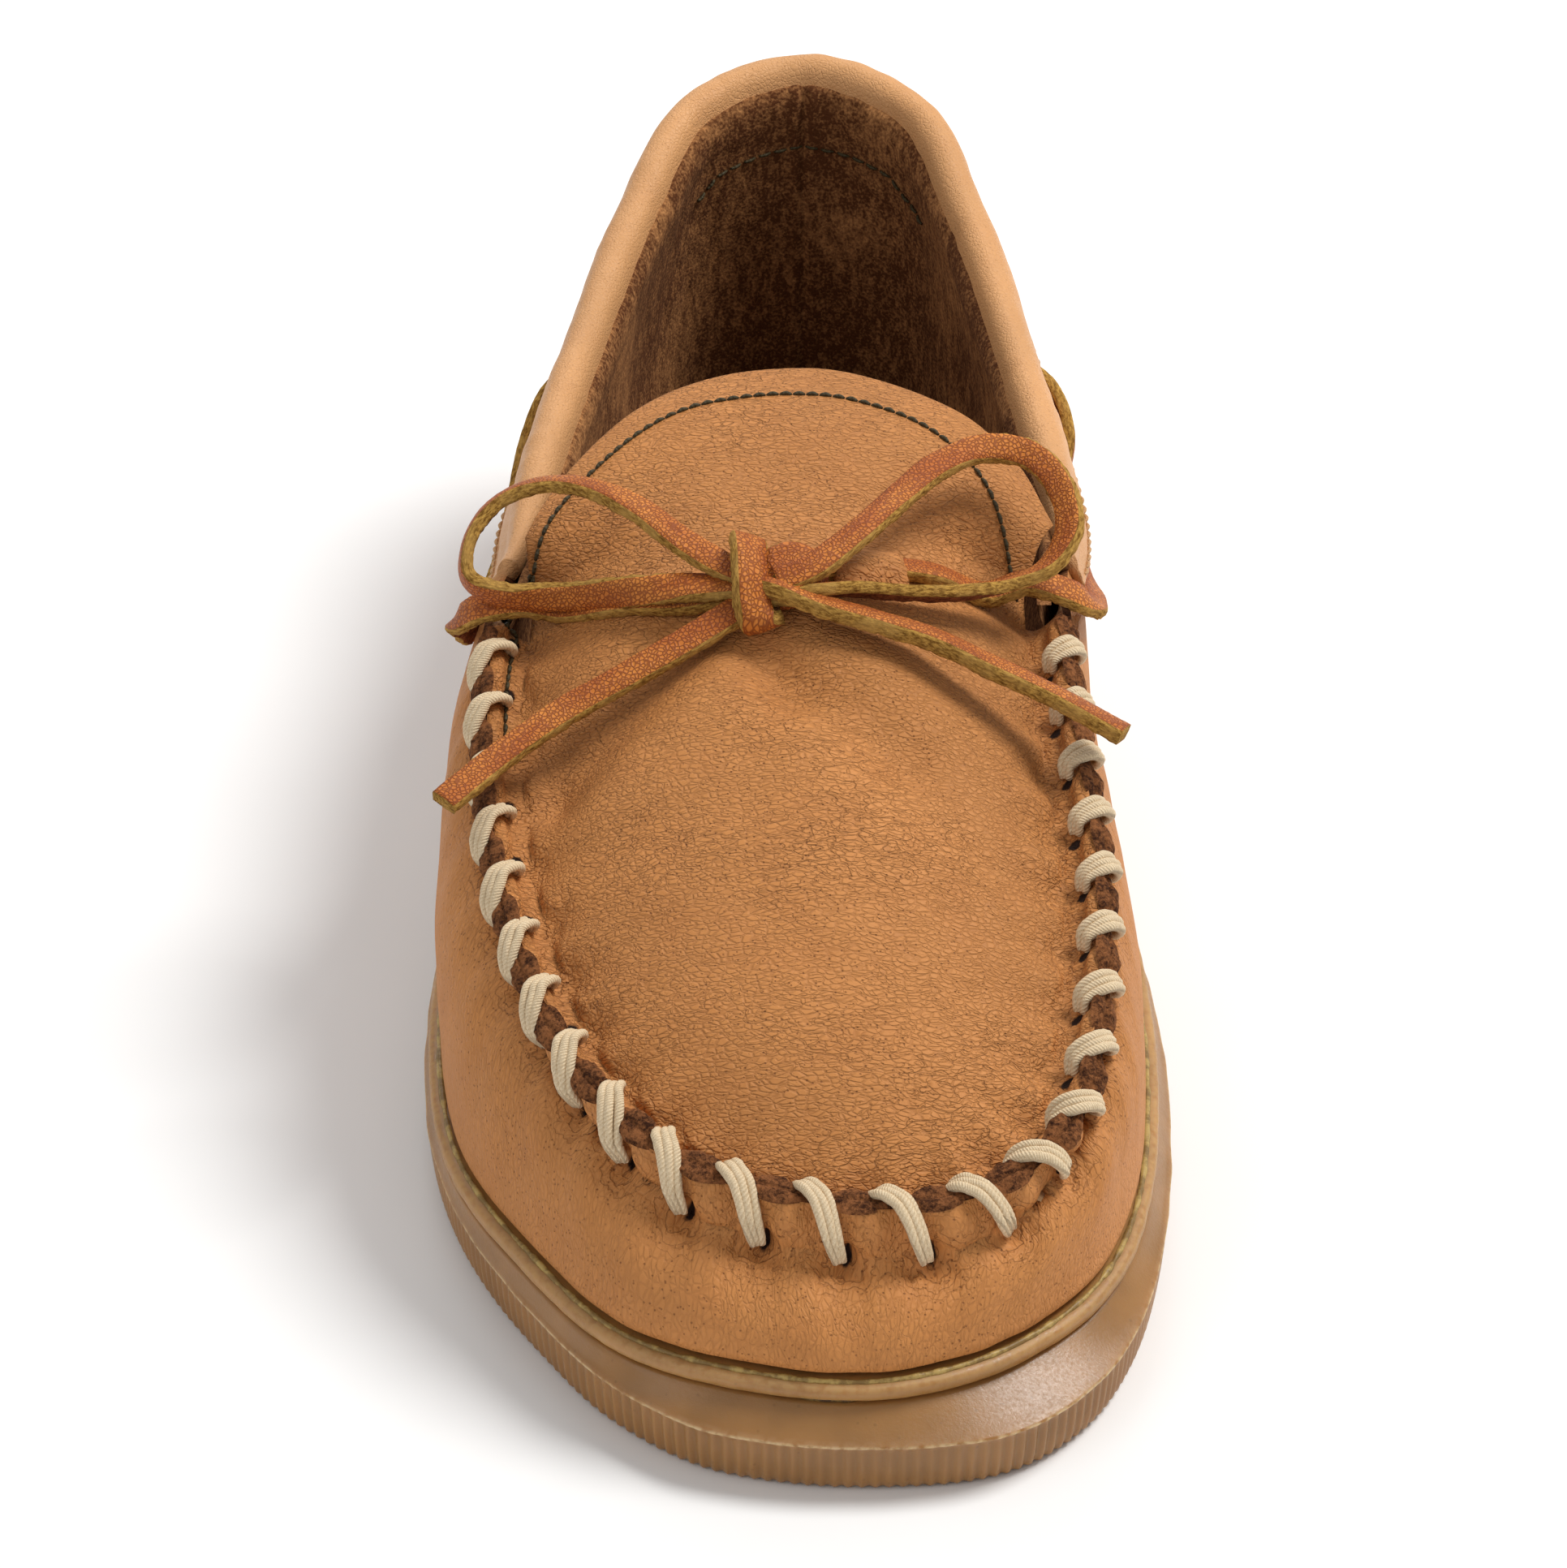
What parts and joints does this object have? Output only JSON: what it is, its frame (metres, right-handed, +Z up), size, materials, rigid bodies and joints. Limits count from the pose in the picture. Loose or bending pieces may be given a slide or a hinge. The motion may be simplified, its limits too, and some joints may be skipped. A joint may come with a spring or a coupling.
{
  "type": "moccasin",
  "caption": "Low lace-up leather moccasin for the right foot, with a whip-stitched plug, padded collar, leather thong bow and rubber sole.",
  "frame": {"origin": "on the ground under the middle of the sole", "axes": "+Y from the toe to the heel, +Z up, +X towards the inner (medial) side of this right shoe"},
  "size_m": [0.1093, 0.2767, 0.0835],
  "materials": {
    "rubber": "satin translucent amber gum rubber",
    "midsole_rubber": "satin pale gum rubber",
    "board": "matt fibre board",
    "foam": "matt foam",
    "suede": "matt napped suede",
    "leather": "soft satin full-grain leather",
    "collar_leather": "smooth satin leather",
    "thread": "waxed cream thread",
    "lace_leather": "pebbled leather thong"
  },
  "bodies": {
    "shoe": {"outsole": "rubber", "midsole": "midsole_rubber", "insole_board": "board", "footbed_foam": "foam", "sock_liner": "suede", "vamp": "leather", "plug": "leather", "quarter_lateral": "leather", "quarter_medial": "leather", "lining_lateral": "suede", "lining_medial": "suede", "heel_counter": "board", "collar_cover": "collar_leather", "collar_foam": "foam", "ridge_thread": "thread", "lace_knot": "lace_leather", "lace_side_lateral": "lace_leather", "lace_side_medial": "lace_leather", "lace_heel_run": "lace_leather", "lace_tail_lateral": "lace_leather", "lace_tail_medial": "lace_leather"},
    "tongue": {"tongue": "leather", "tongue_lining": "suede"},
    "bow_lateral": {"bow_loop_lateral": "lace_leather"},
    "bow_medial": {"bow_loop_medial": "lace_leather"}
  },
  "joints": [
    {"name": "tongue_lift", "type": "hinge", "parent": "shoe", "child": "tongue", "pos_m": [-0.0029, -0.0037, 0.0742], "axis": [0.9978, 0.0658, 0], "range_deg": [0, 20]},
    {"name": "loop_lateral_lift", "type": "hinge", "parent": "shoe", "child": "bow_lateral", "pos_m": [-0.005, -0.0195, 0.076], "axis": [1, 0, 0], "range_deg": [0, 10]},
    {"name": "loop_medial_lift", "type": "hinge", "parent": "shoe", "child": "bow_medial", "pos_m": [-0.005, -0.0195, 0.076], "axis": [1, 0, 0], "range_deg": [0, 10]}
  ],
  "couplings": [
    {"joint": "loop_lateral_lift", "follows": "tongue_lift", "ratio": 0.5},
    {"joint": "loop_medial_lift", "follows": "tongue_lift", "ratio": 0.5}
  ]
}
